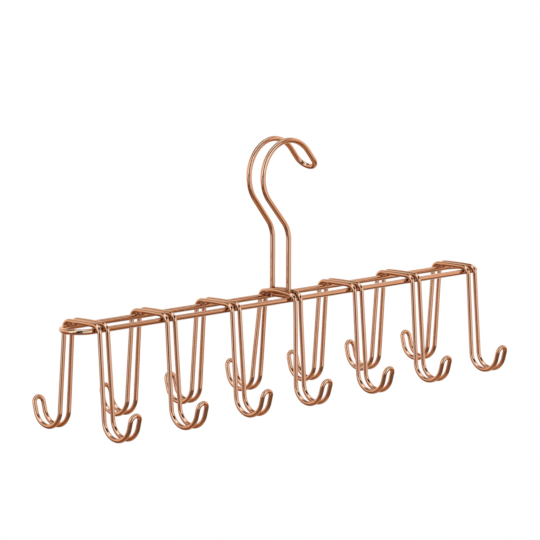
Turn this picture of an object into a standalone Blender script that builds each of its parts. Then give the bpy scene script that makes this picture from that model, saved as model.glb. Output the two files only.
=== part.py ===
"""Belt hanger of bent and welded wire.

A hanging hook stands in the middle of a long loop of rail wire, and seven double hooks are bent over both
rails, so that fourteen belts can hang from it.

Units are metres and +Z is up. The rails run along X and the belt hooks open towards -Y and +Y. The origin is
the point under the crown of the hanging hook where the hanger rests on its rod.
"""

import math

import bpy
import numpy as np
from mathutils import Vector

MM = 0.001
DEGREE = math.pi / 180
QUARTER_TURN = 90 * DEGREE
HALF_TURN = 180 * DEGREE

# Wire diameters, and the space at each weld
RAIL_WIRE = 2.8 * MM
HANGING_WIRE = 2.8 * MM
HOOK_WIRE = 2.4 * MM
WELD_GAP = 0.3 * MM

# Rail loop, measured on the centre of its wire
RAIL_SPACING = 17.8 * MM
RAIL_END_REACH = 13.0 * MM  # from the middle of the last belt hook to the end of the loop
RAIL_DROP = 81.6 * MM  # from the rod's rest point down to the rails

# Belt hooks
HOOK_COUNT = 7
HOOK_PITCH = 46.0 * MM
SHOULDER_BEND = 4.0 * MM  # radius of the bend beside each rail
LEG_LENGTH = 43.3 * MM
LEG_SPLAY = 4.3 * DEGREE
CRADLE_BEND = 9.1 * MM  # radius of the J that holds the belt
CRADLE_TURN = 161.0 * DEGREE
HOOK_LIP = 3.9 * MM  # straight wire between the J and the U at its tip
SHOULDER_SPREAD = 5.4 * MM  # between the two strands where they leave the rails
CRADLE_SPREAD = 5.9 * MM  # between the two strands in the J
BRIDGE_BOW = 2.0 * DEGREE  # how far the strands bow up between the rails

# The middle belt hook, which opens round the stem and stands a little out of square
MIDDLE_SHOULDER_SPREAD = 4.0 * MM
MIDDLE_BRIDGE_BOW = 12.0 * DEGREE
MIDDLE_LEAN = 2.0 * DEGREE

# Hanging hook
ROD_ROOM = 34.0 * MM  # inside diameter of the crown
CROWN_TURN = 180.0 * DEGREE
HANGING_LIP = 6.5 * MM  # straight wire between the crown and the U at its tip
NECK_LEAN = 40.5 * DEGREE
NECK_BEND = 14.2 * MM
BACK_SPREAD = 10.1 * MM  # between the two strands behind the rod
TIP_SPREAD = 11.8 * MM  # between the two strands at the tip
FOOT_DEPTH = 0.8 * MM  # how far the feet reach below the centre of the rails

# Fineness of the model
CHORD_ERROR = 0.1 * MM  # how far a facet may stand off a true bend, or off the round of a wire
BOW_FACETS = 4  # fewest along each half of a bridge

# Finish
COPPER_PLATE = (0.72, 0.36, 0.22)
COPPER_ROUGHNESS = 0.16

RAIL_RADIUS = RAIL_WIRE / 2
HANGING_RADIUS = HANGING_WIRE / 2
HOOK_RADIUS = HOOK_WIRE / 2
CROWN_BEND = (ROD_ROOM + HANGING_WIRE) / 2
CROWN_CENTRE_DROP = ROD_ROOM / 2
RAIL_OFFSET = RAIL_SPACING / 2
STEM_OFFSET = RAIL_OFFSET - RAIL_RADIUS - WELD_GAP - HANGING_RADIUS
RIDE_HEIGHT = RAIL_RADIUS + WELD_GAP + HOOK_RADIUS
STEM_SLOT_SPREAD = HANGING_WIRE + 2 * WELD_GAP + HOOK_WIRE


class WirePath:
    """Centre line of a wire in one plane, fed straight and bent in turn as on a wire bender."""

    def __init__(self, start, heading):
        self.points = [start]
        self.heading = heading
        self.length = 0.0

    def feed(self, length):
        """Go straight on, and return the distance reached along the wire."""
        across, up = self.points[-1]
        self.points.append((across + length * math.cos(self.heading), up + length * math.sin(self.heading)))
        self.length += length
        return self.length

    def bend(self, turn, radius, fewest=1):
        """Turn by an angle, positive to the left, and return the distance reached along the wire."""
        side = math.copysign(1.0, turn)
        across, up = self.points[-1]
        centre_across = across - side * radius * math.sin(self.heading)
        centre_up = up + side * radius * math.cos(self.heading)
        for angle in bend_angles(turn, radius, fewest):
            heading = self.heading + angle
            on_across = centre_across + side * radius * math.sin(heading)
            on_up = centre_up - side * radius * math.cos(heading)
            self.points.append((on_across, on_up))
        self.heading += turn
        self.length += abs(turn) * radius
        return self.length

    def distances(self):
        """Distance along the facets to each point."""
        steps = np.linalg.norm(np.diff(np.array(self.points), axis=0), axis=1)
        return np.concatenate(([0.0], np.cumsum(steps)))


def bend_angles(turn, radius, fewest=1):
    """Angles from the start of a bend to each of its points, close enough for the chord error."""
    largest_step = 2 * math.acos(1 - CHORD_ERROR / radius)
    count = max(fewest, math.ceil(abs(turn) / largest_step))
    return [turn * index / count for index in range(1, count + 1)]


def hairpin(path, stations, place):
    """Points down one strand, round the U at its tip and back up the other strand.

    The stations give half the spread at distances along the path. The function place turns a sideways
    offset and a point of the path's plane into a point in space.
    """
    distances, half_spreads = zip(*stations)
    halves = np.interp(path.distances(), distances, half_spreads)
    near = [place(-half, point) for half, point in zip(halves, path.points)]
    far = [place(half, point) for half, point in zip(halves, path.points)]
    radius = halves[-1]
    across, up = path.points[-1]
    tip = []
    for angle in bend_angles(HALF_TURN, radius)[:-1]:
        reach = radius * math.sin(angle)
        point = (across + reach * math.cos(path.heading), up + reach * math.sin(path.heading))
        tip.append(place(-radius * math.cos(angle), point))
    return near + tip + far[::-1]


def belt_hook_side(side, bow, lean, bridge_spread, shoulder_spread):
    """Half of a belt hook, from the middle of its bridge round one J and back, towards side -1 or 1 in Y."""
    splay = LEG_SPLAY + side * lean
    over_rail = RAIL_OFFSET + RIDE_HEIGHT * math.sin(bow)
    bow_radius = over_rail / math.sin(bow)
    middle_height = RIDE_HEIGHT * math.cos(bow) + bow_radius * (1 - math.cos(bow))
    path = WirePath((0.0, middle_height), heading=0.0)
    path.bend(-bow, bow_radius, BOW_FACETS)
    shoulder = path.bend(bow + splay - QUARTER_TURN, SHOULDER_BEND)
    cradle = path.feed(LEG_LENGTH)
    path.bend(CRADLE_TURN, CRADLE_BEND)
    path.feed(HOOK_LIP)
    stations = [
        (STEM_OFFSET + HANGING_RADIUS, bridge_spread / 2),
        (shoulder, shoulder_spread / 2),
        (cradle, CRADLE_SPREAD / 2),
    ]
    return hairpin(path, stations, lambda offset, point: Vector((-side * offset, side * point[0], point[1])))


def belt_hook_loop(bow, lean, bridge_spread, shoulder_spread):
    """Closed centre line of one double hook, about the point between the rails."""
    front = belt_hook_side(-1, bow, lean, bridge_spread, shoulder_spread)
    rear = belt_hook_side(1, bow, lean, bridge_spread, shoulder_spread)
    return front[:-1] + rear[:-1]


def rail_loop():
    """Closed centre line of the rail wire: two straight rails with a half circle at each end."""
    straight_end = (HOOK_COUNT - 1) * HOOK_PITCH / 2 + RAIL_END_REACH - RAIL_OFFSET
    path = WirePath((-straight_end, -RAIL_OFFSET), heading=0.0)
    for _ in range(2):
        path.feed(2 * straight_end)
        path.bend(HALF_TURN, RAIL_OFFSET)
    return [Vector((across, deep, 0.0)) for across, deep in path.points[:-1]]


def hanging_hook_strands():
    """Open centre line of the hanging hook, from one foot round the tip to the other foot.

    The slanting neck carries the crown back over the stem, so that the hanger's middle is under its rod.
    """
    slant = (CROWN_BEND * math.cos(NECK_LEAN) - NECK_BEND * (1 - math.cos(NECK_LEAN))) / math.sin(NECK_LEAN)
    neck_height = (CROWN_BEND + NECK_BEND) * math.sin(NECK_LEAN) + slant * math.cos(NECK_LEAN)
    foot_height = -RAIL_DROP - FOOT_DEPTH
    stem_length = -CROWN_CENTRE_DROP - neck_height - foot_height
    path = WirePath((0.0, foot_height), heading=QUARTER_TURN)
    stem = path.feed(stem_length)
    path.bend(NECK_LEAN, NECK_BEND)
    slant_end = path.feed(slant)
    back = slant_end + NECK_LEAN * CROWN_BEND
    path.bend(-CROWN_TURN, CROWN_BEND)
    tip = path.feed(HANGING_LIP)
    stations = [(stem, STEM_OFFSET), (back, BACK_SPREAD / 2), (tip, TIP_SPREAD / 2)]
    return hairpin(path, stations, lambda offset, point: Vector((point[0], offset, point[1])))


def copper_plating(name):
    """Bright copper plating."""
    material = bpy.data.materials.new(name)
    material.use_nodes = True
    shader = material.node_tree.nodes["Principled BSDF"]
    shader.inputs["Base Color"].default_value = (*COPPER_PLATE, 1.0)
    shader.inputs["Metallic"].default_value = 1.0
    shader.inputs["Roughness"].default_value = COPPER_ROUGHNESS
    return material


def bevel_steps(diameter):
    """Bevel resolution, of which n gives 2n + 4 sides, that keeps the sides of a wire within the chord error."""
    sides = math.pi / math.acos(1 - CHORD_ERROR / (diameter / 2))
    return max(0, math.ceil((sides - 4) / 2))


def wire_curve(name, points, diameter, closed):
    """Round wire along the points, with flat ends unless it is closed."""
    curve = bpy.data.curves.new(name, "CURVE")
    curve.dimensions = "3D"
    curve.bevel_depth = diameter / 2
    curve.bevel_resolution = bevel_steps(diameter)
    curve.use_fill_caps = True
    spline = curve.splines.new("POLY")
    spline.points.add(len(points) - 1)
    for control, point in zip(spline.points, points):
        control.co = (*point, 1.0)
    spline.use_cyclic_u = closed
    spline.use_smooth = True
    curve.materials.append(copper_plating(name + "_plating"))
    return curve


def place_wire(name, curve, place, hanger, collection):
    """Object for one wire, carried by the hanger's empty."""
    wire = bpy.data.objects.new(name, curve)
    wire.location = place
    wire.parent = hanger
    collection.objects.link(wire)


def add_rail_loop(hanger, collection):
    """The loop of rail wire that carries every belt hook."""
    curve = wire_curve("rail_loop", rail_loop(), RAIL_WIRE, closed=True)
    place_wire("rail_loop", curve, (0.0, 0.0, -RAIL_DROP), hanger, collection)


def add_hanging_hook(hanger, collection):
    """The double hook that goes over the rod, with its feet between the rails."""
    curve = wire_curve("hanging_hook", hanging_hook_strands(), HANGING_WIRE, closed=False)
    place_wire("hanging_hook", curve, (0.0, 0.0, 0.0), hanger, collection)


def add_belt_hooks(hanger, collection):
    """The row of double hooks, of which the middle one holds the stem between its strands."""
    side_loop = belt_hook_loop(BRIDGE_BOW, 0.0, SHOULDER_SPREAD, SHOULDER_SPREAD)
    middle_loop = belt_hook_loop(MIDDLE_BRIDGE_BOW, MIDDLE_LEAN, STEM_SLOT_SPREAD, MIDDLE_SHOULDER_SPREAD)
    side_curve = wire_curve("belt_hook", side_loop, HOOK_WIRE, closed=True)
    middle_curve = wire_curve("middle_belt_hook", middle_loop, HOOK_WIRE, closed=True)
    for index in range(HOOK_COUNT):
        along = (index - (HOOK_COUNT - 1) / 2) * HOOK_PITCH
        curve = middle_curve if along == 0.0 else side_curve
        place_wire(f"belt_hook_{index + 1}", curve, (along, 0.0, -RAIL_DROP), hanger, collection)


def build_belt_hanger():
    """Clear the scene and build the hanger in a collection of its own."""
    for item in list(bpy.data.objects):
        bpy.data.objects.remove(item, do_unlink=True)
    collection = bpy.data.collections.new("belt_hanger")
    bpy.context.scene.collection.children.link(collection)
    hanger = bpy.data.objects.new("belt_hanger", None)
    collection.objects.link(hanger)
    add_rail_loop(hanger, collection)
    add_hanging_hook(hanger, collection)
    add_belt_hooks(hanger, collection)


build_belt_hanger()
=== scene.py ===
"""Looks of a belt hanger of bent and welded steel wire under bright copper plating.

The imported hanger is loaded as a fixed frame. A finely rounded wire takes the place of each of its nodes, the
fused metal of the spot welds joins them, and a light tent, a floor, lamps and the camera are set up as in the
photograph. Lengths are in metres and angles in radians unless a name says otherwise.
"""

import logging
import math
from dataclasses import dataclass, field, replace
from enum import Enum
from functools import partial, reduce
from typing import Callable, Sequence, Union

import bpy
import numpy as np
from mathutils import Matrix, Vector


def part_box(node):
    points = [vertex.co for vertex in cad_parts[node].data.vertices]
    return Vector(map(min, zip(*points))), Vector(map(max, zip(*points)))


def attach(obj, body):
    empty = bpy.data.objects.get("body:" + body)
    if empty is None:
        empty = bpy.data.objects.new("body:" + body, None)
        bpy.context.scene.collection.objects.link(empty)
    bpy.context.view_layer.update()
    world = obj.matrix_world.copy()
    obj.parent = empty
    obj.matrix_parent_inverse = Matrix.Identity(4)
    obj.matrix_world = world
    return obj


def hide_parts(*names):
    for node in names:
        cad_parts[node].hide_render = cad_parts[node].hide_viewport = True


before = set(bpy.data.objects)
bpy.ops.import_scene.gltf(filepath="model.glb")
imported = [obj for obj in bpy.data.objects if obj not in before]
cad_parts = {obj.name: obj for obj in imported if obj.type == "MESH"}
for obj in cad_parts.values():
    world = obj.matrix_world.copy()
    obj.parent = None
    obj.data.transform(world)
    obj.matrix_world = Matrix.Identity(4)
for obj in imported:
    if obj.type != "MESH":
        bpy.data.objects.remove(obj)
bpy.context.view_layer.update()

LOG = logging.getLogger("belt_hanger")

MM = 0.001
DEGREE = math.pi / 180
QUARTER_TURN = 90 * DEGREE
HALF_TURN = 180 * DEGREE
BODY = "root"

# The gap that the solids leave where two wires are welded.
WELD_GAP = 0.3 * MM
WIRE_SIDES = 32
STRAIGHT_STEP = 2.0 * MM
BEND_STEP = 4.0 * DEGREE
LEAST_BEND_STEPS = 3
ALONG_RAILS = Vector((1.0, 0.0, 0.0))
UPWARDS = Vector((0.0, 0.0, 1.0))
WHITE = (1.0, 1.0, 1.0)

Colour = tuple[float, float, float]
Point = tuple[float, float]
Station = tuple[float, float]
Limits = tuple[float, float]
Given = Union["Value", float, int, bool, str, tuple, Vector, bpy.types.ID]


class Side(Enum):
    """The two sides of the rails that a belt hook reaches, each with its direction along Y."""

    FRONT = -1
    REAR = 1


class Ends(Enum):
    """How a wire finishes: joined into a ring, or cut square at both ends."""

    RING = "ring"
    CUT = "cut"


class BendPlane(Enum):
    """Upright plane that a bend lies in, with its level coordinate."""

    ALONG_RAILS = "X"
    ACROSS_RAILS = "Y"


class Value:
    """Output socket of a node. Python's operators on it add Math nodes to its tree."""

    def __init__(self, tree: "NodeTree", socket: bpy.types.NodeSocket) -> None:
        """Keep the tree, to which the operators add their nodes, and the socket."""
        self.tree = tree
        self.socket = socket

    def _math(self, operation: str, first: Given, second: Given = 0.0) -> "Value":
        """Result of one Math node."""
        return self.tree.node("ShaderNodeMath", {"operation": operation}, {0: first, 1: second})

    def __add__(self, other: Given) -> "Value":
        """Self plus other."""
        return self._math("ADD", self, other)

    def __radd__(self, other: Given) -> "Value":
        """Other plus self."""
        return self._math("ADD", other, self)

    def __sub__(self, other: Given) -> "Value":
        """Self minus other."""
        return self._math("SUBTRACT", self, other)

    def __rsub__(self, other: Given) -> "Value":
        """Other minus self."""
        return self._math("SUBTRACT", other, self)

    def __mul__(self, other: Given) -> "Value":
        """Self times other."""
        return self._math("MULTIPLY", self, other)

    def __rmul__(self, other: Given) -> "Value":
        """Other times self."""
        return self._math("MULTIPLY", other, self)

    def larger(self, other: Given) -> "Value":
        """The larger of self and other."""
        return self._math("MAXIMUM", self, other)

    def smaller(self, other: Given) -> "Value":
        """The smaller of self and other."""
        return self._math("MINIMUM", self, other)

    def absolute(self) -> "Value":
        """Self without its sign."""
        return self._math("ABSOLUTE", self)

    def arcsine(self) -> "Value":
        """Angle whose sine is self."""
        return self._math("ARCSINE", self)

    def bearing(self, ahead: Given) -> "Value":
        """Angle of the direction that goes self to the right for each ahead."""
        return self._math("ARCTAN2", self, ahead)

    def rise(self, low: float, high: float) -> "Value":
        """Share from 0 at low to 1 at high, eased at both."""
        ranges = {"Value": self, "From Min": low, "From Max": high}
        return self.tree.node("ShaderNodeMapRange", {"interpolation_type": "SMOOTHSTEP"}, ranges)

    def between(self, low: float, high: float, feather: float) -> "Value":
        """Share of 1 from low to high and 0 outside, eased over the feather at both."""
        half = feather / 2
        return self.rise(low - half, low + half) * (1 - self.rise(high - half, high + half))

    def degrees(self) -> "Value":
        """Self in degrees, where self is an angle in radians."""
        return self * (1 / DEGREE)


class NodeTree:
    """Node tree of a material, of the world or of Geometry Nodes, to which nodes are added by one method."""

    def __init__(self, tree: bpy.types.NodeTree) -> None:
        """Take over the tree and clear it."""
        self.tree = tree
        tree.nodes.clear()

    def node(
        self, kind: str, settings: dict | None = None, inputs: dict | None = None, output: str | None = None
    ) -> Value:
        """Add one node.

        Args:
            kind: Blender's name of the node type.
            settings: the node's own settings, which are set first.
            inputs: a value or link for each socket, by its name or its number.
            output: name of the output to return, or None for the first one in use.

        Returns:
            The output as a value.
        """
        made = self.tree.nodes.new(kind)
        for name, setting in (settings or {}).items():
            setattr(made, name, setting)
        for key, given in (inputs or {}).items():
            self._fill(self._socket(made.inputs, key), given)
        outputs = [socket for socket in made.outputs if socket.enabled and output in (None, socket.name)]
        return Value(self, outputs[0]) if outputs else Value(self, None)

    @staticmethod
    def _socket(sockets: Sequence[bpy.types.NodeSocket], key: str | int) -> bpy.types.NodeSocket:
        """Socket in use by its name, or any socket by its number."""
        if isinstance(key, int):
            return sockets[key]
        return next(socket for socket in sockets if socket.enabled and socket.name == key)

    def _fill(self, socket: bpy.types.NodeSocket, given: Given) -> None:
        """Link a value to a socket, or set the socket's own value."""
        if isinstance(given, Value):
            self.tree.links.new(given.socket, socket)
        elif socket.type == "RGBA":
            socket.default_value = (*given, 1.0)
        else:
            socket.default_value = given

    def mix(self, share: Given, first: Given, second: Given) -> Value:
        """Colour that passes from the first to the second as the share goes from 0 to 1."""
        inputs = {"Factor": share, "A": first, "B": second}
        return self.node("ShaderNodeMix", {"data_type": "RGBA"}, inputs)

    def blend(self, share: Given, first: Value, second: Value) -> Value:
        """Shader that passes from the first to the second as the share goes from 0 to 1."""
        return self.node("ShaderNodeMixShader", {}, {0: share, 1: first, 2: second})

    def vector(
        self, operation: str, first: Given, second: Given | None = None, output: str = "Vector"
    ) -> Value:
        """Result of one Vector Math node, of which some give a vector and some the number Value."""
        inputs = {0: first} if second is None else {0: first, 1: second}
        return self.node("ShaderNodeVectorMath", {"operation": operation}, inputs, output)

    def part(self, vector: Value, axis: str) -> Value:
        """X, Y or Z of a vector."""
        return self.node("ShaderNodeSeparateXYZ", {}, {"Vector": vector}, axis)

    def noise(self, place: Value, scale: float) -> Value:
        """Smooth noise from 0 to 1, with its features one metre over scale apart."""
        return self.node("ShaderNodeTexNoise", {}, {"Vector": place, "Scale": scale})

    def object_place(self) -> Value:
        """Object coordinates."""
        return self.node("ShaderNodeTexCoord", {}, {}, "Object")


def new_material(name: str) -> tuple[bpy.types.Material, NodeTree]:
    """New material, and its node tree without nodes."""
    made = bpy.data.materials.new(name)
    made.use_nodes = True
    return made, NodeTree(made.node_tree)


def new_object(name: str, data: bpy.types.ID) -> bpy.types.Object:
    """New object in the scene, for a mesh, a lamp's data or a camera's."""
    made = bpy.data.objects.new(name, data)
    bpy.context.scene.collection.objects.link(made)
    return made


@dataclass(frozen=True)
class RubMark:
    """Inside of a bend that hung things slide on, where the plating is dulled.

    The centre is a level and an upright coordinate. The pull is 1 where things press upwards on the bend and
    -1 where they press downwards. The mark fades away from its deepest point.
    """

    plane: BendPlane
    centre: Point
    radius: float
    pull: float
    depth: float = 0.9 * MM
    fade: Limits = (0.1, 0.9)

    def mask(self, tree: NodeTree, place: Value) -> Value:
        """Share from 0 to 1 of the rubbing at a place in object coordinates."""
        level = tree.part(place, self.plane.value) - self.centre[0]
        up = tree.part(place, "Z") - self.centre[1]
        offset = tree.node("ShaderNodeCombineXYZ", {}, {"X": level, "Y": up})
        distance = tree.vector("LENGTH", offset, output="Value")
        inside = 1 - distance.rise(self.radius, self.radius + self.depth)
        return inside * (up * self.pull).rise(self.fade[0] * self.radius, self.fade[1] * self.radius)


@dataclass(frozen=True)
class CopperPlate:
    """Bright copper plating over drawn wire.

    The plating is a little deeper in tone in clouds and keeps the faint lines of the drawn wire beneath. It
    is dulled where hung things rub, and the crevices where wires cross get painted shade, darkened by ambient
    occlusion.
    """

    tone: Colour = (0.88, 0.57, 0.43)
    deeper_tone: Colour = (0.86, 0.53, 0.38)
    rubbed_tone: Colour = (0.82, 0.54, 0.41)
    # Darker as burnt weld metal, and partly painted shade of the crossing where the weld sits.
    weld_and_shade_tone: Colour = (0.58, 0.38, 0.28)
    weld_roughness: float = 0.1
    # Painted shade: the base colour darkens to this tone in the crevices where wires cross, by ambient
    # occlusion.
    painted_crevice_shade_tone: Colour = (0.46, 0.24, 0.14)
    painted_shade_reach: float = 4.0 * MM
    painted_shade_limits: Limits = (0.35, 0.95)
    painted_shade_samples: int = 8
    edge_tint: Colour = (0.96, 0.82, 0.72)
    roughness: float = 0.045
    cloud_roughness: float = 0.03
    rubbed_roughness: float = 0.12
    rubbed_limits: Limits = (0.3, 0.7)
    cloud_scale: float = 55.0
    cloud_limits: Limits = (0.35, 0.7)
    ripple_scale: float = 900.0
    line_stretch: tuple[float, float, float] = (45.0, 2600.0, 2600.0)
    line_share: float = 0.6
    relief: float = 0.0012 * MM

    def over_weld(self) -> "CopperPlate":
        """The same plating over the rougher metal of a weld, darker both as burnt weld metal and as painted
        shade of the crossing.
        """
        return replace(self, tone=self.weld_and_shade_tone, deeper_tone=self.weld_and_shade_tone, roughness=self.weld_roughness)

    def material(self, name: str, rub_marks: Sequence[RubMark] = ()) -> bpy.types.Material:
        """Build the plating.

        Args:
            name: name of the material.
            rub_marks: the rubbed bends of the piece.

        Returns:
            The material.
        """
        made, tree = new_material(name)
        place = tree.object_place()
        cloud = tree.noise(place, self.cloud_scale).rise(*self.cloud_limits)
        lines = self._lines(tree)
        rubbed = self._rubbed(tree, place, lines, rub_marks)
        tone = tree.mix(rubbed, tree.mix(cloud, self.tone, self.deeper_tone), self.rubbed_tone)
        relief = lines * self.line_share + tree.noise(place, self.ripple_scale) * (1 - self.line_share)
        inputs = {
            # Painted shade: the colour darkens by ambient occlusion in the crevices between crossed wires.
            "Base Color": tree.mix(self._unshaded_share(tree), self.painted_crevice_shade_tone, tone),
            "Metallic": 1.0,
            "Roughness": cloud * self.cloud_roughness + rubbed * self.rubbed_roughness + self.roughness,
            "Specular Tint": self.edge_tint,
            "Normal": tree.node("ShaderNodeBump", {}, {"Distance": self.relief, "Height": relief}),
        }
        shader = tree.node("ShaderNodeBsdfPrincipled", {}, inputs)
        tree.node("ShaderNodeOutputMaterial", {}, {"Surface": shader})
        return made

    def _unshaded_share(self, tree: NodeTree) -> Value:
        """Share that is 1 on the open wire and falls by ambient occlusion in the crevices, where it paints
        shade into the colour.
        """
        settings = {"samples": self.painted_shade_samples}
        reach = {"Distance": self.painted_shade_reach}
        return tree.node("ShaderNodeAmbientOcclusion", settings, reach, "AO").rise(*self.painted_shade_limits)

    def _lines(self, tree: NodeTree) -> Value:
        """Faint lines that run along the wire, from its place before it was bent."""
        drawn = tree.node("ShaderNodeAttribute", {"attribute_name": "drawn"}, {}, "Vector")
        return tree.noise(tree.vector("MULTIPLY", drawn, self.line_stretch), 1.0)

    def _rubbed(self, tree: NodeTree, place: Value, lines: Value, rub_marks: Sequence[RubMark]) -> Given:
        """Share from 0 to 1 of the rubbing, broken up by the drawn lines."""
        if not rub_marks:
            return 0.0
        masks = [mark.mask(tree, place) for mark in rub_marks]
        return reduce(Value.larger, masks) * lines.rise(*self.rubbed_limits)


@dataclass
class BentPath:
    """Centre line of a wire in one plane, fed straight and bent in turn, as on a wire bender."""

    across: float
    up: float
    heading: float
    reach: float = 0.0
    points: list[Point] = field(default_factory=list)
    reaches: list[float] = field(default_factory=list)

    def __post_init__(self) -> None:
        """Put down the first point."""
        self._mark()

    def _mark(self) -> None:
        """Put down a point where the path has come to."""
        self.points.append((self.across, self.up))
        self.reaches.append(self.reach)

    def feed(self, length: float) -> float:
        """Go straight on for a length, and return the distance reached along the wire."""
        steps = math.ceil(length / STRAIGHT_STEP)
        for _ in range(steps):
            self.across += math.cos(self.heading) * length / steps
            self.up += math.sin(self.heading) * length / steps
            self.reach += length / steps
            self._mark()
        return self.reach

    def bend(self, turn: float, radius: float) -> float:
        """Turn by an angle, positive to the left.

        Args:
            turn: the angle.
            radius: radius of the bend on the centre line.

        Returns:
            The distance reached along the wire.
        """
        side = math.copysign(radius, turn)
        centre_across = self.across - side * math.sin(self.heading)
        centre_up = self.up + side * math.cos(self.heading)
        steps = max(LEAST_BEND_STEPS, math.ceil(abs(turn) / BEND_STEP))
        for _ in range(steps):
            self.heading += turn / steps
            self.across = centre_across + side * math.sin(self.heading)
            self.up = centre_up - side * math.cos(self.heading)
            self.reach += abs(turn) * radius / steps
            self._mark()
        return self.reach

    def at(self, reach: float) -> Point:
        """Point of the path at a distance along it."""
        across, up = zip(*self.points)
        return float(np.interp(reach, self.reaches, across)), float(np.interp(reach, self.reaches, up))


def half_spread(reach: float, stations: Sequence[Station]) -> float:
    """Half of the spread of two strands, passing smoothly from each station to the next.

    Args:
        reach: distance along the path.
        stations: pairs of a distance along the path and the half spread there.

    Returns:
        The half spread.
    """
    for (start, first), (end, second) in zip(stations, stations[1:]):
        if reach <= end:
            share = max(0.0, (reach - start) / (end - start))
            return first + (second - first) * (1 - math.cos(HALF_TURN * share)) / 2
    return stations[-1][1]


def hairpin(
    path: BentPath, stations: Sequence[Station], place: Callable[[float, Point], Vector]
) -> list[Vector]:
    """Points down one strand, round the U at its tip and back up the other strand.

    Args:
        path: the path that both strands follow, one on each side.
        stations: pairs of a distance along the path and half the spread of the strands there.
        place: turns a sideways offset and a point of the path's plane into a point in space.

    Returns:
        The points in order.
    """
    halves = [half_spread(reach, stations) for reach in path.reaches]
    near = [place(-half, point) for half, point in zip(halves, path.points)]
    far = [place(half, point) for half, point in zip(halves, path.points)]
    radius = halves[-1]
    steps = math.ceil(HALF_TURN / BEND_STEP)
    tip = []
    for index in range(1, steps):
        angle = HALF_TURN * index / steps
        ahead = radius * math.sin(angle)
        point = (path.across + ahead * math.cos(path.heading), path.up + ahead * math.sin(path.heading))
        tip.append(place(-radius * math.cos(angle), point))
    return near + tip + far[::-1]


@dataclass(frozen=True)
class SpotWeld:
    """Place of one spot weld, where a second wire crosses a first one."""

    first_centre: Vector
    second_centre: Vector
    first_run: Vector

    def towards(self) -> Vector:
        """Direction from the first wire to the second."""
        return (self.second_centre - self.first_centre).normalized()


@dataclass(frozen=True)
class WeldFillet:
    """Fused metal in the corner between two crossed wires.

    It has the surface that a ball touches as it rolls round the crossing against both wires. The first wire
    runs along X through the origin, and the second runs along Y above it.
    """

    first_radius: float
    second_radius: float
    ball: float = 0.5 * MM
    sink: float = 0.01 * MM
    steps_round: int = 40
    steps_across: int = 6

    def _apart(self) -> float:
        """Height of the second wire's centre over the first's."""
        return self.first_radius + WELD_GAP + self.second_radius

    def _ball_centre(self, angle: float) -> Vector:
        """Centre of the ball when it has rolled through an angle round the crossing."""
        first_reach = self.first_radius + self.ball
        second_reach = self.second_radius + self.ball
        apart = self._apart()
        up = first_reach * math.cos(angle) ** 2 + (apart - second_reach) * math.sin(angle) ** 2
        across = math.sqrt(max(0.0, second_reach**2 - (apart - up) ** 2))
        along = math.sqrt(max(0.0, first_reach**2 - up**2))
        return Vector((math.copysign(across, math.cos(angle)), math.copysign(along, math.sin(angle)), up))

    def _profile(self, angle: float) -> list[Vector]:
        """Points of the ball's surface from the first wire to the second, at one angle."""
        centre = self._ball_centre(angle)
        to_first = Vector((centre.x, 0.0, 0.0)) - centre
        to_second = Vector((0.0, centre.y, self._apart())) - centre
        start, end = to_first.normalized(), to_second.normalized()
        reach = self.ball + self.sink
        shares = [step / self.steps_across for step in range(self.steps_across + 1)]
        return [centre + start.slerp(end, share) * reach for share in shares]

    def mesh(self, name: str) -> bpy.types.Mesh:
        """Closed mesh of the fillet, whose two ends are buried in the wires."""
        rings = [self._profile(2 * HALF_TURN * step / self.steps_round) for step in range(self.steps_round)]
        vertices = [point for ring in rings for point in ring]
        bottom, top = len(vertices), len(vertices) + 1
        vertices.append(Vector((0.0, 0.0, self.first_radius / 2)))
        vertices.append(Vector((0.0, 0.0, self._apart() + self.second_radius / 2)))
        rows = self.steps_across + 1
        starts = [step * rows for step in range(self.steps_round)]
        neighbours = list(zip(starts, starts[1:] + starts[:1]))
        faces = []
        for here, ahead in neighbours:
            for row in range(self.steps_across):
                faces.append((here + row, ahead + row, ahead + row + 1, here + row + 1))
        for here, ahead in neighbours:
            faces.append((bottom, ahead, here))
            faces.append((top, here + rows - 1, ahead + rows - 1))
        made = bpy.data.meshes.new(name)
        made.from_pydata(vertices, [], faces)
        made.validate()
        made.shade_smooth()
        return made


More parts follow.
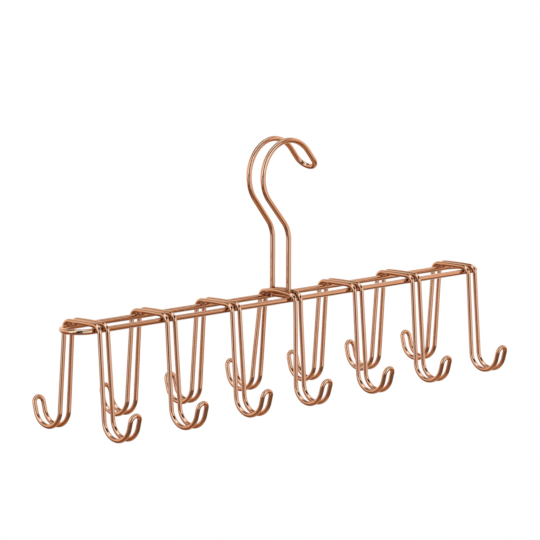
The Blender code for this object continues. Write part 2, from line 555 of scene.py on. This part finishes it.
class GeometryRecipe:
    """Geometry Nodes tree with named inputs, whose result is kept as a plain mesh."""

    def __init__(self, name: str, inputs: dict[str, str]) -> None:
        """Start a tree, with the socket type of each of its named inputs."""
        group = bpy.data.node_groups.new(name, "GeometryNodeTree")
        self.tree = NodeTree(group)
        self.group = group
        group.interface.new_socket("Geometry", in_out="INPUT", socket_type="NodeSocketGeometry")
        group.interface.new_socket("Geometry", in_out="OUTPUT", socket_type="NodeSocketGeometry")
        self.identifiers = {
            key: group.interface.new_socket(key, in_out="INPUT", socket_type=kind).identifier
            for key, kind in inputs.items()
        }
        self._source = group.nodes.new("NodeGroupInput")

    def given(self, name: str) -> Value:
        """Named input of the tree as a value."""
        return Value(self.tree, self._source.outputs[name])

    def named(self, name: str, kind: str = "FLOAT_VECTOR") -> Value:
        """Named attribute of a point as a value."""
        settings = {"data_type": kind}
        return self.tree.node("GeometryNodeInputNamedAttribute", settings, {"Name": name}, "Attribute")

    def end(self, geometry: Value, plating: Value) -> None:
        """Close the tree with real geometry in its plating."""
        real = self.tree.node("GeometryNodeRealizeInstances", {}, {"Geometry": geometry})
        smooth = self.tree.node("GeometryNodeSetShadeSmooth", {}, {"Geometry": real})
        plated = self.tree.node("GeometryNodeSetMaterial", {}, {"Geometry": smooth, "Material": plating})
        self.tree.node("NodeGroupOutput", {}, {"Geometry": plated})

    def make(self, name: str, base: bpy.types.Mesh, settings: dict[str, Given]) -> bpy.types.Object:
        """Run the tree on a base mesh.

        Args:
            name: name of the piece.
            base: mesh that the tree starts from.
            settings: a value for each named input.

        Returns:
            The piece, at the origin, with the result as its mesh and no modifier.
        """
        piece = new_object(name, base)
        modifier = piece.modifiers.new(self.group.name, "NODES")
        modifier.node_group = self.group
        for key, setting in settings.items():
            modifier[self.identifiers[key]] = setting
        graph = bpy.context.evaluated_depsgraph_get()
        result = bpy.data.meshes.new_from_object(
            piece.evaluated_get(graph), preserve_all_data_layers=True, depsgraph=graph
        )
        piece.modifiers.clear()
        result.name = name
        piece.data = result
        bpy.data.meshes.remove(base)
        return piece


class WireMill(GeometryRecipe):
    """Sweeps a round wire along a centre line.

    Each point keeps its place on the straight wire, from before the wire was bent, under the name drawn.
    """

    def __init__(self) -> None:
        """Build the tree."""
        inputs = {"Diameter": "NodeSocketFloat", "Sides": "NodeSocketInt", "Plating": "NodeSocketMaterial"}
        super().__init__("wire_mill", inputs)
        tree = self.tree
        line = tree.node("GeometryNodeMeshToCurve", {}, {"Mesh": self.given("Geometry")})
        inputs = {"Resolution": self.given("Sides"), "Radius": self.given("Diameter") * 0.5}
        ring = tree.node("GeometryNodeCurvePrimitiveCircle", {}, inputs, "Curve")
        section = self._stored(ring, "section", tree.node("GeometryNodeInputPosition"))
        inputs = {"Curve": line, "Profile Curve": section, "Fill Caps": True}
        wire = tree.node("GeometryNodeCurveToMesh", {}, inputs)
        stored = self.named("section")
        inputs = {"X": self.named("reach", "FLOAT"), "Y": tree.part(stored, "X"), "Z": tree.part(stored, "Y")}
        drawn = tree.node("ShaderNodeCombineXYZ", {}, inputs)
        self.end(self._stored(wire, "drawn", drawn), self.given("Plating"))

    def _stored(self, geometry: Value, name: str, value: Value) -> Value:
        """Geometry that carries a vector at each point under a name."""
        inputs = {"Geometry": geometry, "Name": name, "Value": value}
        return self.tree.node("GeometryNodeStoreNamedAttribute", {"data_type": "FLOAT_VECTOR"}, inputs)

    def draw(
        self, name: str, points: Sequence[Vector], diameter: float, ends: Ends, plating: bpy.types.Material
    ) -> bpy.types.Object:
        """Make one wire.

        Args:
            name: name of the piece.
            points: the centre line.
            diameter: the wire's diameter.
            ends: whether the wire is a ring or is cut.
            plating: its finish.

        Returns:
            The piece.
        """
        edges = [(index, index + 1) for index in range(len(points) - 1)]
        if ends is Ends.RING:
            edges.append((len(points) - 1, 0))
        base = bpy.data.meshes.new(name + "_line")
        base.from_pydata(points, edges, [])
        steps = [(second - first).length for first, second in zip(points, points[1:])]
        reaches = base.attributes.new("reach", "FLOAT", "POINT")
        reaches.data.foreach_set("value", np.concatenate(([0.0], np.cumsum(steps))))
        return self.make(name, base, {"Diameter": diameter, "Sides": WIRE_SIDES, "Plating": plating})


class WeldPress(GeometryRecipe):
    """Sets one fillet at each of a row of spot welds."""

    def __init__(self) -> None:
        """Build the tree."""
        super().__init__("weld_press", {"Fillet": "NodeSocketObject", "Plating": "NodeSocketMaterial"})
        tree = self.tree
        fillet = tree.node("GeometryNodeObjectInfo", {}, {"Object": self.given("Fillet")}, "Geometry")
        axes = {"Primary Axis": self.named("towards"), "Secondary Axis": self.named("first_run")}
        turn = tree.node("FunctionNodeAxesToRotation", {"primary_axis": "Z", "secondary_axis": "X"}, axes)
        inputs = {"Points": self.given("Geometry"), "Instance": fillet, "Rotation": turn}
        self.end(tree.node("GeometryNodeInstanceOnPoints", {}, inputs), self.given("Plating"))

    def weld(
        self, name: str, fillet: WeldFillet, welds: Sequence[SpotWeld], plating: bpy.types.Material
    ) -> bpy.types.Object:
        """Make one row of welds.

        Args:
            name: name of the piece.
            fillet: the shape of each weld.
            welds: their places.
            plating: their finish.

        Returns:
            The piece.
        """
        pattern = bpy.data.objects.new(name + "_fillet", fillet.mesh(name + "_fillet"))
        base = bpy.data.meshes.new(name + "_places")
        base.from_pydata([weld.first_centre for weld in welds], [], [])
        towards = [weld.towards() for weld in welds]
        first_runs = [weld.first_run for weld in welds]
        for key, vectors in (("towards", towards), ("first_run", first_runs)):
            attribute = base.attributes.new(key, "FLOAT_VECTOR", "POINT")
            attribute.data.foreach_set("vector", [number for vector in vectors for number in vector])
        piece = self.make(name, base, {"Fillet": pattern, "Plating": plating})
        bpy.data.objects.remove(pattern)
        return piece


def dress(piece: bpy.types.Object, *nodes: str) -> None:
    """Let a piece ride on the hanger, and stand for nodes of the frame."""
    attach(piece, BODY)
    if nodes:
        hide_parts(*nodes)
    stood_for = ", ".join(nodes) or "no node"
    LOG.info("%s: %d faces, stands for %s", piece.name, len(piece.data.polygons), stood_for)


def middle_of(node: str) -> Vector:
    """Middle of the box of a node of the frame."""
    low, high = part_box(node)
    return (low + high) / 2


@dataclass(frozen=True)
class RailLoop:
    """Long, narrow loop of wire, whose two long sides are the rails."""

    height: float
    first_hook: float
    last_hook: float
    wire: float = 2.8 * MM
    spacing: float = 17.8 * MM
    end_reach: float = 13.0 * MM
    plate: CopperPlate = CopperPlate()

    def offset(self) -> float:
        """Distance in Y from the middle to the centre of each rail."""
        return self.spacing / 2

    def centre_line(self) -> list[Vector]:
        """Points round the loop."""
        left = self.first_hook - self.end_reach + self.offset()
        right = self.last_hook + self.end_reach - self.offset()
        path = BentPath(left, -self.offset(), heading=0.0)
        for _ in range(2):
            path.feed(right - left)
            path.bend(HALF_TURN, self.offset())
        return [Vector((across, deep, self.height)) for across, deep in path.points[:-1]]

    def build(self, mill: WireMill) -> None:
        """Make and dress the loop."""
        plating = self.plate.material("rail_plating")
        loop = mill.draw("plated_rail_loop", self.centre_line(), self.wire, Ends.RING, plating)
        dress(loop, "rail_loop")


@dataclass(frozen=True)
class HangingHook:
    """Double hook that goes over the closet rod, with its feet welded between the rails.

    A short bar closes the wire from foot to foot, between the rails and under the bridge of the middle hook.
    """

    rails: RailLoop
    wire: float = 2.8 * MM
    rod_room: float = 34.0 * MM
    crown_turn: float = 180.0 * DEGREE
    lip: float = 6.5 * MM
    neck_lean: float = 40.5 * DEGREE
    neck_bend: float = 14.2 * MM
    back_spread: float = 10.1 * MM
    tip_spread: float = 11.8 * MM
    foot_depth: float = 0.15 * MM
    foot_ball: float = 0.25 * MM
    bar_height: float = 1.25 * MM
    bar_bend: float = 2.2 * MM
    plate: CopperPlate = CopperPlate()

    def stem_offset(self) -> float:
        """Distance in Y from the middle to the centre of each strand of the stem."""
        return self.rails.offset() - self.rails.wire / 2 - WELD_GAP - self.wire / 2

    def centre_line(self) -> list[Vector]:
        """Points from one foot over the crown to its tip, and back to the other foot."""
        crown_bend = (self.rod_room + self.wire) / 2
        sine, cosine = math.sin(self.neck_lean), math.cos(self.neck_lean)
        slant = (crown_bend * cosine - self.neck_bend * (1 - cosine)) / sine
        neck_height = (crown_bend + self.neck_bend) * sine + slant * cosine
        foot_height = self.rails.height - self.foot_depth
        path = BentPath(0.0, foot_height, heading=QUARTER_TURN)
        stem = path.feed(-self.rod_room / 2 - neck_height - foot_height)
        path.bend(self.neck_lean, self.neck_bend)
        back = path.feed(slant) + self.neck_lean * crown_bend
        path.bend(-self.crown_turn, crown_bend)
        tip = path.feed(self.lip)
        stations = [(stem, self.stem_offset()), (back, self.back_spread / 2), (tip, self.tip_spread / 2)]
        return hairpin(path, stations, lambda offset, point: Vector((point[0], offset, point[1])))

    def bar_line(self) -> list[Vector]:
        """Points down out of one strand, across between the rails and up into the other strand."""
        start = self.rails.height + self.bar_height + self.bar_bend
        path = BentPath(-self.stem_offset(), start, heading=-QUARTER_TURN)
        path.bend(QUARTER_TURN, self.bar_bend)
        path.feed(2 * (self.stem_offset() - self.bar_bend))
        path.bend(QUARTER_TURN, self.bar_bend)
        return [Vector((0.0, deep, height)) for deep, height in path.points]

    def foot_welds(self) -> list[SpotWeld]:
        """Welds of both feet to the rails."""
        welds = []
        for side in Side:
            rail = Vector((0.0, side.value * self.rails.offset(), self.rails.height))
            foot = Vector((0.0, side.value * self.stem_offset(), self.rails.height))
            welds.append(SpotWeld(rail, foot, ALONG_RAILS))
        return welds

    def build(self, mill: WireMill, press: WeldPress) -> None:
        """Make and dress the hook, the bar between its feet and their welds."""
        rub = RubMark(BendPlane.ALONG_RAILS, (0.0, -self.rod_room / 2), self.rod_room / 2, pull=1.0)
        plating = self.plate.material("hanging_hook_plating", [rub])
        line = self.centre_line()
        dress(mill.draw("plated_hanging_hook", line, self.wire, Ends.CUT, plating), "hanging_hook")
        dress(mill.draw("plated_foot_bar", self.bar_line(), self.wire, Ends.CUT, plating))
        fillet = WeldFillet(self.rails.wire / 2, self.wire / 2, ball=self.foot_ball)
        weld_plating = self.plate.over_weld().material("foot_weld_plating")
        dress(press.weld("foot_welds", fillet, self.foot_welds(), weld_plating))


@dataclass(frozen=True)
class BeltHook:
    """Closed loop of wire bent over both rails, with a J for a belt at each side."""

    node: str
    along: float
    rails: RailLoop
    wire: float = 2.4 * MM
    bow: float = 2.0 * DEGREE
    lean: float = 0.0
    bridge_spread: float = 5.4 * MM
    bridge_reach: float = 7.2 * MM
    shoulder_spread: float = 5.4 * MM
    shoulder_bend: float = 4.0 * MM
    leg_length: float = 43.3 * MM
    leg_splay: float = 4.3 * DEGREE
    cradle_bend: float = 9.1 * MM
    cradle_turn: float = 161.0 * DEGREE
    cradle_spread: float = 5.9 * MM
    lip: float = 3.9 * MM
    plate: CopperPlate = CopperPlate()

    def ride_height(self) -> float:
        """Height of the wire's centre over that of the rail that it rides on."""
        return self.rails.wire / 2 + WELD_GAP + self.wire / 2

    def crossing(self) -> Point:
        """Distance from the middle, and height over the rail's centre, where the wire crosses the rail."""
        across = self.rails.offset() + self.ride_height() * math.sin(self.bow)
        return across, self.ride_height() * math.cos(self.bow)

    def splay(self, side: Side) -> float:
        """Angle from the upright of the leg on one side."""
        return self.leg_splay + side.value * self.lean

    def half(self, side: Side) -> tuple[BentPath, list[Station]]:
        """Path from the middle of the bridge round the J on one side, and the stations of its spread."""
        across, up = self.crossing()
        bow_radius = across / math.sin(self.bow)
        middle = up + bow_radius * (1 - math.cos(self.bow))
        path = BentPath(0.0, self.rails.height + middle, heading=0.0)
        path.bend(-self.bow, bow_radius)
        shoulder = path.bend(self.bow + self.splay(side) - QUARTER_TURN, self.shoulder_bend)
        cradle = path.feed(self.leg_length)
        path.bend(self.cradle_turn, self.cradle_bend)
        path.feed(self.lip)
        stations = [
            (self.bridge_reach, self.bridge_spread / 2),
            (shoulder, self.shoulder_spread / 2),
            (cradle, self.cradle_spread / 2),
        ]
        return path, stations

    def centre_line(self) -> list[Vector]:
        """Points round the whole loop."""
        loop = []
        for side in Side:
            loop += hairpin(*self.half(side), partial(self._place, side))[:-1]
        return loop

    def _place(self, side: Side, offset: float, point: Point) -> Vector:
        """Point in space on one side, from an offset along the rails and a point of the path."""
        return Vector((self.along - side.value * offset, side.value * point[0], point[1]))

    def rub_marks(self) -> list[RubMark]:
        """Rubbed insides of both Js."""
        marks = []
        for side in Side:
            path, stations = self.half(side)
            across, up = path.at(stations[-1][0])
            heading = self.splay(side) - QUARTER_TURN
            across -= math.sin(heading) * self.cradle_bend
            up += math.cos(heading) * self.cradle_bend
            inside = self.cradle_bend - self.wire / 2
            marks.append(RubMark(BendPlane.ACROSS_RAILS, (side.value * across, up), inside, pull=-1.0))
        return marks

    def rail_welds(self) -> list[SpotWeld]:
        """The four welds of the strands to the rails."""
        across, up = self.crossing()
        height = self.rails.height
        welds = []
        for side in Side:
            _, stations = self.half(side)
            half = half_spread(across, stations)
            for along in (self.along - half, self.along + half):
                rail = Vector((along, side.value * self.rails.offset(), height))
                strand = Vector((along, side.value * across, height + up))
                welds.append(SpotWeld(rail, strand, ALONG_RAILS))
        return welds

    def build(self, mill: WireMill) -> None:
        """Make and dress the hook."""
        plating = self.plate.material(self.node + "_plating", self.rub_marks())
        line = self.centre_line()
        dress(mill.draw("plated_" + self.node, line, self.wire, Ends.RING, plating), self.node)


@dataclass(frozen=True)
class BeltHookRow:
    """The row of double hooks, of which the middle one holds the stem between its strands."""

    rails: RailLoop
    stem: HangingHook
    count: int = 7
    middle_shoulder_spread: float = 4.0 * MM
    middle_bow: float = 12.0 * DEGREE
    middle_lean: float = 2.0 * DEGREE
    stem_ball: float = 0.3 * MM
    plate: CopperPlate = CopperPlate()

    def hooks(self) -> list[BeltHook]:
        """The hooks from left to right, each where its node is."""
        nodes = [f"belt_hook_{index + 1}" for index in range(self.count)]
        row = [BeltHook(node, middle_of(node).x, self.rails) for node in nodes]
        middle = row[self.count // 2]
        row[self.count // 2] = replace(
            middle,
            bow=self.middle_bow,
            lean=self.middle_lean,
            bridge_spread=self.stem.wire + 2 * WELD_GAP + middle.wire,
            shoulder_spread=self.middle_shoulder_spread,
        )
        return row

    def stem_welds(self, hook: BeltHook) -> list[SpotWeld]:
        """Welds of the middle hook's strands to the stem that stands between them."""
        path, _ = hook.half(Side.FRONT)
        offset = self.stem.stem_offset()
        height = path.at(offset)[1]
        welds = []
        for side in Side:
            for strand in (-1, 1):
                stem = Vector((hook.along, side.value * offset, height))
                across = Vector((strand * hook.bridge_spread / 2, 0.0, 0.0))
                welds.append(SpotWeld(stem, stem + across, UPWARDS))
        return welds

    def build(self, mill: WireMill, press: WeldPress) -> None:
        """Make and dress the hooks and their welds."""
        hooks = self.hooks()
        for hook in hooks:
            hook.build(mill)
        weld_plating = self.plate.over_weld().material("rail_weld_plating")
        fillet = WeldFillet(self.rails.wire / 2, hooks[0].wire / 2)
        welds = [weld for hook in hooks for weld in hook.rail_welds()]
        dress(press.weld("rail_welds", fillet, welds, weld_plating))
        stem_fillet = WeldFillet(self.stem.wire / 2, hooks[0].wire / 2, ball=self.stem_ball)
        dress(press.weld("stem_welds", stem_fillet, self.stem_welds(hooks[self.count // 2]), weld_plating))


class Board(Enum):
    """Stuffs that the cards of the light tent are cut from, each with the tone that it shows to the metal."""

    WHITE_SILK = (1.05, 1.12, 1.10)
    PALE_SILK = (0.85, 1.00, 1.02)
    CREAM = (0.88, 0.82, 0.76)
    GREY = (0.48, 0.56, 0.56)
    STONE = (0.72, 0.64, 0.58)
    SAND = (0.82, 0.64, 0.49)
    TAN = (0.58, 0.38, 0.22)
    RUST = (0.46, 0.25, 0.12)
    BROWN = (0.35, 0.22, 0.15)
    DARK_WOOD = (0.23, 0.10, 0.04)
    CHARCOAL = (0.29, 0.29, 0.29)
    SOOT = (0.14, 0.12, 0.10)
    BLACK_VELVET = (0.01, 0.01, 0.01)
    LAMP_FACE = (1.80, 1.80, 1.70)


@dataclass(frozen=True)
class TentCard:
    """Soft-edged card on the wall of the light tent.

    Its bearings are degrees from the camera's direction towards the camera's right, its heights are degrees
    above the horizon, and its edges fade over the feather.
    """

    name: str
    left: float
    right: float
    bottom: float
    top: float
    feather: float
    board: Board

    def mask(self, bearing: Value, height: Value) -> Value:
        """Share from 0 to 1 that the card covers in a direction."""
        sideways = bearing.between(self.left, self.right, self.feather)
        return sideways * height.between(self.bottom, self.top, self.feather)


# Degrees past every bearing and height, for a card without an edge on that side.
EVERYWHERE = 200.0
CARDS = (
    TentCard("back_right", 124, 156, 8, 62, 8, Board.CREAM),
    TentCard("back_left", -156, -132, 0, 46, 8, Board.PALE_SILK),
    TentCard("back_gap_right", 154, EVERYWHERE, -2, 66, 8, Board.BROWN),
    TentCard("back_gap_left", -EVERYWHERE, -154, -2, 66, 8, Board.GREY),
    TentCard("left_wall_top", -134, -58, 34, 50, 6, Board.RUST),
    TentCard("skirting", -EVERYWHERE, EVERYWHERE, -EVERYWHERE, -9, 6, Board.TAN),
    TentCard("left_foot", -EVERYWHERE, -104, -17, -7, 5, Board.PALE_SILK),
    TentCard("left_shade", -104, -58, -17, -7, 5, Board.BROWN),
    TentCard("table", -EVERYWHERE, EVERYWHERE, -EVERYWHERE, -21, 6, Board.DARK_WOOD),
    TentCard("table_below", -EVERYWHERE, EVERYWHERE, -EVERYWHERE, -56, 12, Board.RUST),
    TentCard("table_at_right", 17, 78, -28, -16, 6, Board.SAND),
    TentCard("table_behind", 132, EVERYWHERE, -58, -16, 8, Board.GREY),
    TentCard("table_front", -38, 36, -60, -27, 6, Board.SOOT),
    TentCard("ceiling", -EVERYWHERE, EVERYWHERE, 61, EVERYWHERE, 4, Board.PALE_SILK),
    TentCard("roof_gap", -EVERYWHERE, -56, 48, 76, 7, Board.SOOT),
    TentCard("left_panel", -60, -19, -17, 60, 4, Board.WHITE_SILK),
    TentCard("right_panel", 17, 78, -17, 40, 4, Board.WHITE_SILK),
    TentCard("right_panel_foot", 17, 58, -17, 1, 5, Board.STONE),
    TentCard("right_gap", 78, 90, -20, 60, 5, Board.RUST),
    TentCard("right_flag", 76, 126, 38, 49, 4, Board.SOOT),
    TentCard("key_panel", -50, -4, 58, 74, 4, Board.LAMP_FACE),
    TentCard("low_slit", -37, 0, -28, 2, 5, Board.SOOT),
    TentCard("low_slit_right", 0, 16, -28, 2, 5, Board.CHARCOAL),
    TentCard("camera_slit", -19, 17, -4, 42, 3, Board.BLACK_VELVET),
    TentCard("front_flag", -17, 78, 36, 62, 3, Board.BLACK_VELVET),
)


@dataclass(frozen=True)
class PhotoCamera:
    """Camera at the photograph's viewing angle."""

    azimuth: float = -45.8546 * DEGREE
    elevation: float = 8.5839 * DEGREE
    roll: float = 0.198 * DEGREE
    aim: tuple[float, float, float] = (-7.854 * MM, 0.0, -66.293 * MM)
    distance: float = 1.70907
    lens: float = 218.983
    sensor: float = 36.0

    def back(self) -> Vector:
        """Direction from the hanger to the camera."""
        level = math.cos(self.elevation)
        across, deep = math.sin(self.azimuth) * level, -math.cos(self.azimuth) * level
        return Vector((across, deep, math.sin(self.elevation)))

    def ahead(self) -> Vector:
        """Level direction from the hanger towards the camera."""
        return Vector((self.back().x, self.back().y, 0.0)).normalized()

    def right(self) -> Vector:
        """Level direction to the camera's right."""
        return Vector((math.cos(self.azimuth), math.sin(self.azimuth), 0.0))

    def build(self) -> None:
        """Set the camera up and make it the scene's."""
        data = bpy.data.cameras.new("photo_camera")
        data.lens = self.lens
        data.sensor_width = self.sensor
        camera = new_object("photo_camera", data)
        up = self.back().cross(self.right())
        axes = Matrix((self.right(), up, self.back())).transposed().to_4x4()
        turn = Matrix.Rotation(self.roll, 4, "Z")
        camera.matrix_world = Matrix.Translation(Vector(self.aim) + self.back() * self.distance) @ axes @ turn
        bpy.context.scene.camera = camera


@dataclass(frozen=True)
class SoftLamp:
    """Square lamp that is seen in no reflection.

    Its bearing and height are degrees like those of a card, and its power is in watts.
    """

    name: str
    bearing: float
    height: float
    distance: float
    size: float
    power: float

    def build(self, camera: PhotoCamera, centre: Vector) -> None:
        """Set the lamp up at its distance from the centre, to which it is turned."""
        data = bpy.data.lights.new(self.name, "AREA")
        data.size = self.size
        data.energy = self.power
        lamp = new_object(self.name, data)
        bearing, height = self.bearing * DEGREE, self.height * DEGREE
        level = camera.ahead() * math.cos(bearing) + camera.right() * math.sin(bearing)
        direction = level * math.cos(height) + UPWARDS * math.sin(height)
        turn = direction.to_track_quat("Z", "Y").to_matrix().to_4x4()
        lamp.matrix_world = Matrix.Translation(centre + direction * self.distance) @ turn
        lamp.visible_glossy = False


LAMPS = (
    SoftLamp("key_lamp", bearing=-30, height=62, distance=1.5, size=0.2, power=9.0),
    SoftLamp("fill_lamp", bearing=60, height=40, distance=1.8, size=1.0, power=5.0),
)


@dataclass(frozen=True)
class Studio:
    """White background, pale floor, soft lamps, and a tent of cards that only reflections see."""

    camera: PhotoCamera
    centre: tuple[float, float, float] = (0.0, 0.0, -0.08)
    tent_radius: float = 3.0
    tent_depth: float = 0.42
    tent_columns: int = 96
    tent_rows: int = 48
    opening_bearing: float = 150.0
    opening_height: float = 30.0
    opening_feather: float = 10.0
    floor_depth: float = 0.45
    floor_radius: float = 12.0
    floor_corners: int = 96
    floor_tone: Colour = (0.88, 0.87, 0.86)
    floor_white: float = 0.25
    floor_fade: Limits = (0.35, 1.0)
    sky_level: float = 0.7

    @staticmethod
    def _seen(tree: NodeTree) -> Value:
        """1 for the rays that show the background itself, in view, in metal or through glass, and else 0."""
        rays = [
            tree.node("ShaderNodeLightPath", {}, {}, name)
            for name in ("Is Camera Ray", "Is Glossy Ray", "Is Transmission Ray")
        ]
        return (rays[0] + rays[1] + rays[2]).smaller(1.0)

    @staticmethod
    def _stage(
        name: str, vertices: Sequence[Vector], faces: Sequence[tuple], material: bpy.types.Material
    ) -> bpy.types.Object:
        """New mesh in the scene that isn't part of the hanger."""
        mesh = bpy.data.meshes.new(name)
        mesh.from_pydata(vertices, [], faces)
        mesh.materials.append(material)
        made = new_object(name, mesh)
        return made

    def build_world(self) -> None:
        """White where it is seen, and an even soft light elsewhere."""
        world = bpy.data.worlds.new("white_surroundings")
        world.use_nodes = True
        tree = NodeTree(world.node_tree)
        light = tree.node("ShaderNodeBackground", {}, {"Color": WHITE, "Strength": self.sky_level})
        white = tree.node("ShaderNodeBackground", {}, {"Color": WHITE, "Strength": 1.0})
        tree.node("ShaderNodeOutputWorld", {}, {"Surface": tree.blend(self._seen(tree), light, white)})
        bpy.context.scene.world = world

    def build_floor(self) -> None:
        """Round pale floor, a little below the tent, that keeps the hanger's shadow."""
        foot = Vector(self.centre) - UPWARDS * self.floor_depth
        material, tree = new_material("pale_floor")
        paint = tree.node("ShaderNodeBsdfDiffuse", {}, {"Color": self.floor_tone})
        white = tree.node("ShaderNodeEmission", {}, {"Color": WHITE, "Strength": 1.0})
        away = tree.vector("DISTANCE", tree.object_place(), foot, output="Value")
        share = self._seen(tree) * away.rise(*self.floor_fade).larger(self.floor_white)
        tree.node("ShaderNodeOutputMaterial", {}, {"Surface": tree.blend(share, paint, white)})
        corners = range(self.floor_corners)
        angles = [2 * HALF_TURN * corner / self.floor_corners for corner in corners]
        radius = self.floor_radius
        rim = [Vector((radius * math.cos(angle), radius * math.sin(angle), foot.z)) for angle in angles]
        self._stage("floor", rim, [tuple(corners)], material)

    def _tent_material(self) -> bpy.types.Material:
        """Cards by direction from the hanger, with an opening behind it to the white surroundings."""
        LOG.info("light_tent: cards %s", ", ".join(card.name for card in CARDS))
        material, tree = new_material("tent_cards")
        material.cycles.emission_sampling = "NONE"
        direction = tree.vector("NORMALIZE", tree.vector("SUBTRACT", tree.object_place(), self.centre))
        to_camera = tree.vector("DOT_PRODUCT", direction, self.camera.ahead(), output="Value")
        to_right = tree.vector("DOT_PRODUCT", direction, self.camera.right(), output="Value")
        bearing = to_right.bearing(to_camera).degrees()
        height = tree.part(direction, "Z").arcsine().degrees()
        tone: Given = Board.SAND.value
        for card in CARDS:
            tone = tree.mix(card.mask(bearing, height), tone, card.board.value)
        half = self.opening_feather / 2
        around = bearing.absolute().rise(self.opening_bearing - half, self.opening_bearing + half)
        above = height.absolute().rise(self.opening_height - half, self.opening_height + half)
        cards = tree.node("ShaderNodeEmission", {}, {"Color": tone, "Strength": 1.0})
        hole = tree.node("ShaderNodeBsdfTransparent")
        tree.node("ShaderNodeOutputMaterial", {}, {"Surface": tree.blend(around * (1 - above), cards, hole)})
        return material

    def _tent_point(self, bearing: float, height: float) -> Vector:
        """Point of the tent in a direction from its centre, on the round wall or on the flat table."""
        level = math.cos(height)
        direction = Vector((level * math.cos(bearing), level * math.sin(bearing), math.sin(height)))
        reach = self.tent_radius
        if direction.z < 0:
            reach = min(reach, -self.tent_depth / direction.z)
        return Vector(self.centre) + direction * reach

    def build_tent(self) -> None:
        """Tent with a round wall and roof and a flat table, seen in reflections alone."""
        columns, rows = self.tent_columns, self.tent_rows
        vertices = [
            self._tent_point(2 * HALF_TURN * column / columns, HALF_TURN * (row / rows - 0.5))
            for row in range(rows + 1)
            for column in range(columns)
        ]
        faces = []
        for start in range(0, rows * columns, columns):
            for column in range(columns):
                here, ahead = start + column, start + (column + 1) % columns
                faces.append((here + columns, ahead + columns, ahead, here))
        tent = self._stage("light_tent", vertices, faces, self._tent_material())
        tent.visible_camera = False
        tent.visible_diffuse = False
        tent.visible_shadow = False

    def build(self) -> None:
        """Set up the whole studio."""
        self.build_world()
        self.build_floor()
        self.build_tent()
        for lamp in LAMPS:
            lamp.build(self.camera, Vector(self.centre))


def main() -> None:
    """Build the hanger piece by piece, and then the studio round it."""
    logging.basicConfig(level=logging.INFO, format="%(message)s")
    mill, press = WireMill(), WeldPress()
    height = middle_of("rail_loop").z
    rails = RailLoop(height, middle_of("belt_hook_1").x, middle_of("belt_hook_7").x)
    rails.build(mill)
    hanging_hook = HangingHook(rails)
    hanging_hook.build(mill, press)
    BeltHookRow(rails, hanging_hook).build(mill, press)
    camera = PhotoCamera()
    camera.build()
    Studio(camera).build()
    bpy.context.scene.view_settings.view_transform = "Standard"


if __name__ == "__main__":
    main()
